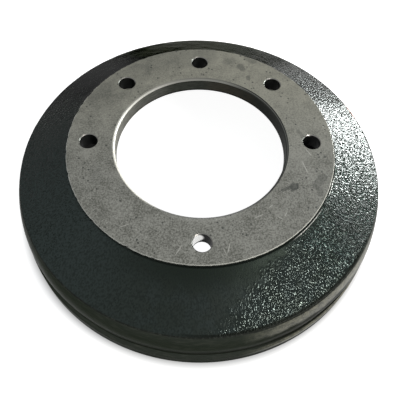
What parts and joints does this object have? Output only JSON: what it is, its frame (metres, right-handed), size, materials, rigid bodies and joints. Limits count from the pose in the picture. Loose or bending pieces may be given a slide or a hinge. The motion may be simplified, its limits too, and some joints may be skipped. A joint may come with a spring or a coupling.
{
  "type": "brake drum",
  "caption": "One-piece cast brake drum with a drilled mounting flange, a conical web and a beaded open rim around its friction face.",
  "frame": {"origin": "on the drum's axis, in the plane of the open rim that it stands on", "axes": "+Z along the axle line from the open rim towards the mounting flange's outer face, -Y through the hole that stands alone opposite the row of five"},
  "size_m": [0.337, 0.337, 0.078],
  "materials": {
    "brake_drum": "black gloss paint on the rough casting, bare where it is turned"
  },
  "bodies": {
    "root": {"brake_drum": "brake_drum"}
  },
  "joints": []
}
